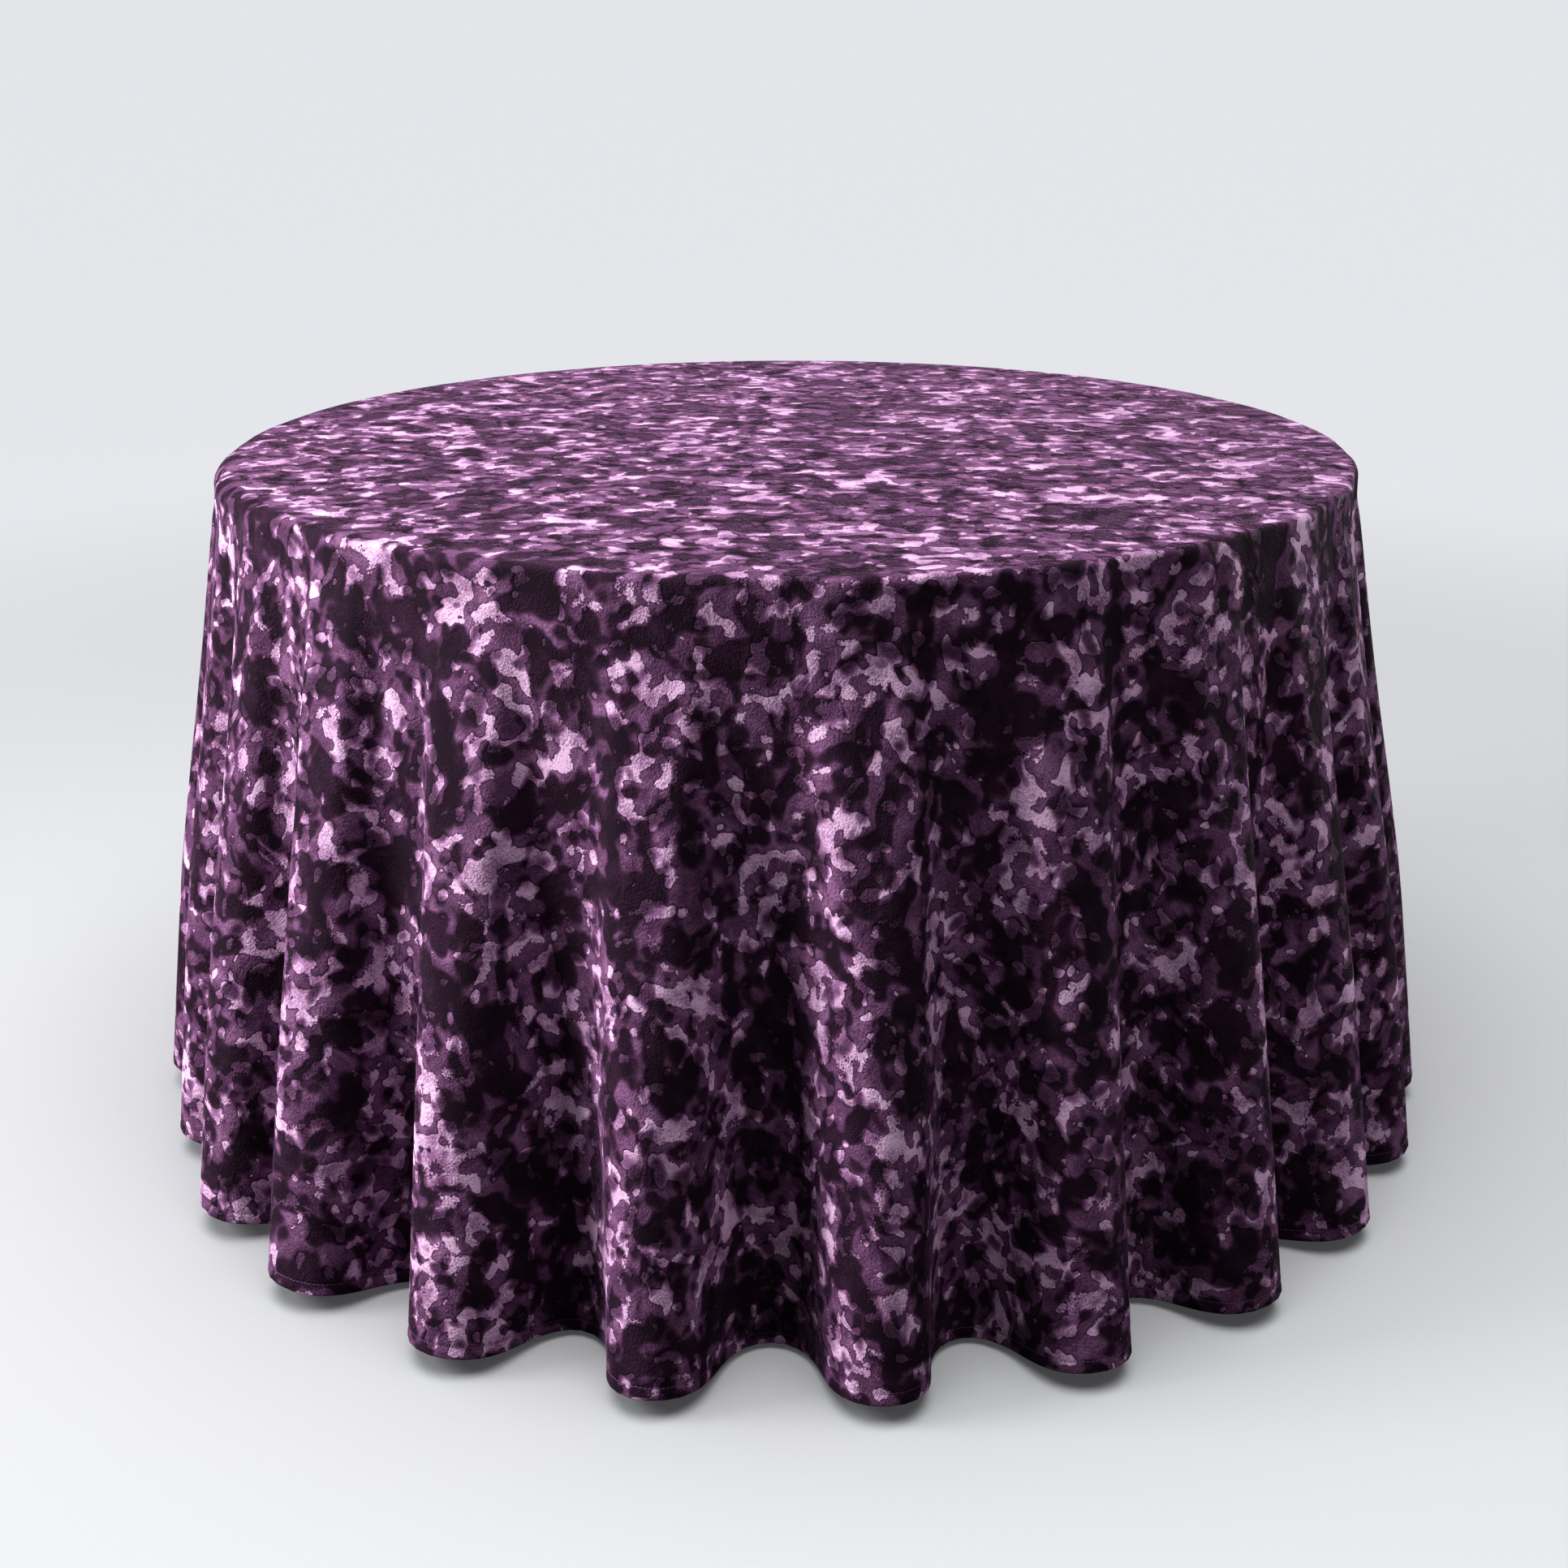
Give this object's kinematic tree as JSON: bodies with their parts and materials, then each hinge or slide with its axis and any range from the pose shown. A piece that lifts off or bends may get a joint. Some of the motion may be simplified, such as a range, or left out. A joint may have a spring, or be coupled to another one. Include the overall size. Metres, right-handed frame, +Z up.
{
  "type": "tablecloth on a table",
  "caption": "Round folding table under a floor-length crushed velvet cloth that hangs in soft folds, with individually folding legs and pull latches hidden inside.",
  "frame": {"origin": "on the floor under the centre of the table top", "axes": "+Z up; -Y is the side the picture is taken from; +X is to its right"},
  "size_m": [1.476, 1.476, 0.753],
  "materials": {
    "cloth": "crushed velvet in plum, mottled from near black to lilac",
    "hem": "the same velvet, turned up and stitched",
    "plywood": "clear-coated plywood",
    "band": "satin dark brown edge band",
    "rail_wood": "planed softwood, unfinished",
    "block_wood": "planed softwood with a little dried glue",
    "screw": "zinc plated",
    "bolt": "zinc plated",
    "bracket": "grey hammered enamel",
    "leg": "black powder coat",
    "plug": "black moulded plastic",
    "foot": "black rubber",
    "knob": "red moulded plastic",
    "saddle": "black moulded plastic"
  },
  "bodies": {
    "table": {"tablecloth": "cloth", "hem_band": "hem", "top_panel": "plywood", "edge_band": "band", "front_rail": "rail_wood", "back_rail": "rail_wood", "left_rail": "rail_wood", "right_rail": "rail_wood", "centre_batten": "rail_wood", "corner_blocks": "block_wood", "rail_screws": "screw", "bracket_screws": "screw", "saddle_screws": "screw", "pivot_bolts": "bolt", "pivot_nuts": "bolt", "front_right_bracket": "bracket", "back_right_bracket": "bracket", "back_left_bracket": "bracket", "front_left_bracket": "bracket", "front_right_saddle": "saddle", "back_right_saddle": "saddle", "back_left_saddle": "saddle", "front_left_saddle": "saddle"},
    "front_right_leg": {"front_right_leg_tube": "leg", "front_right_leg_plug": "plug", "front_right_foot": "foot"},
    "front_right_latch": {"front_right_latch_knob": "knob"},
    "back_right_leg": {"back_right_leg_tube": "leg", "back_right_leg_plug": "plug", "back_right_foot": "foot"},
    "back_right_latch": {"back_right_latch_knob": "knob"},
    "back_left_leg": {"back_left_leg_tube": "leg", "back_left_leg_plug": "plug", "back_left_foot": "foot"},
    "back_left_latch": {"back_left_latch_knob": "knob"},
    "front_left_leg": {"front_left_leg_tube": "leg", "front_left_leg_plug": "plug", "front_left_foot": "foot"},
    "front_left_latch": {"front_left_latch_knob": "knob"}
  },
  "joints": [
    {"name": "front_right_leg_fold", "type": "hinge", "parent": "table", "child": "front_right_leg", "pos_m": [0.38, -0.38, 0.69], "axis": [1, 0, 0], "range_deg": [0, 90]},
    {"name": "front_right_latch_pull", "type": "slide", "parent": "table", "child": "front_right_latch", "axis": [1, 0, 0], "range_m": [0, 0.006], "stiffness_N_per_m": 800, "springref_m": -0.005},
    {"name": "back_right_leg_fold", "type": "hinge", "parent": "table", "child": "back_right_leg", "pos_m": [0.38, 0.38, 0.69], "axis": [0, 1, 0], "range_deg": [0, 90]},
    {"name": "back_right_latch_pull", "type": "slide", "parent": "table", "child": "back_right_latch", "axis": [0, 1, 0], "range_m": [0, 0.006], "stiffness_N_per_m": 800, "springref_m": -0.005},
    {"name": "back_left_leg_fold", "type": "hinge", "parent": "table", "child": "back_left_leg", "pos_m": [-0.38, 0.38, 0.69], "axis": [-1, 0, 0], "range_deg": [0, 90]},
    {"name": "back_left_latch_pull", "type": "slide", "parent": "table", "child": "back_left_latch", "axis": [-1, 0, 0], "range_m": [0, 0.006], "stiffness_N_per_m": 800, "springref_m": -0.005},
    {"name": "front_left_leg_fold", "type": "hinge", "parent": "table", "child": "front_left_leg", "pos_m": [-0.38, -0.38, 0.69], "axis": [0, -1, 0], "range_deg": [0, 90]},
    {"name": "front_left_latch_pull", "type": "slide", "parent": "table", "child": "front_left_latch", "axis": [0, -1, 0], "range_m": [0, 0.006], "stiffness_N_per_m": 800, "springref_m": -0.005}
  ]
}
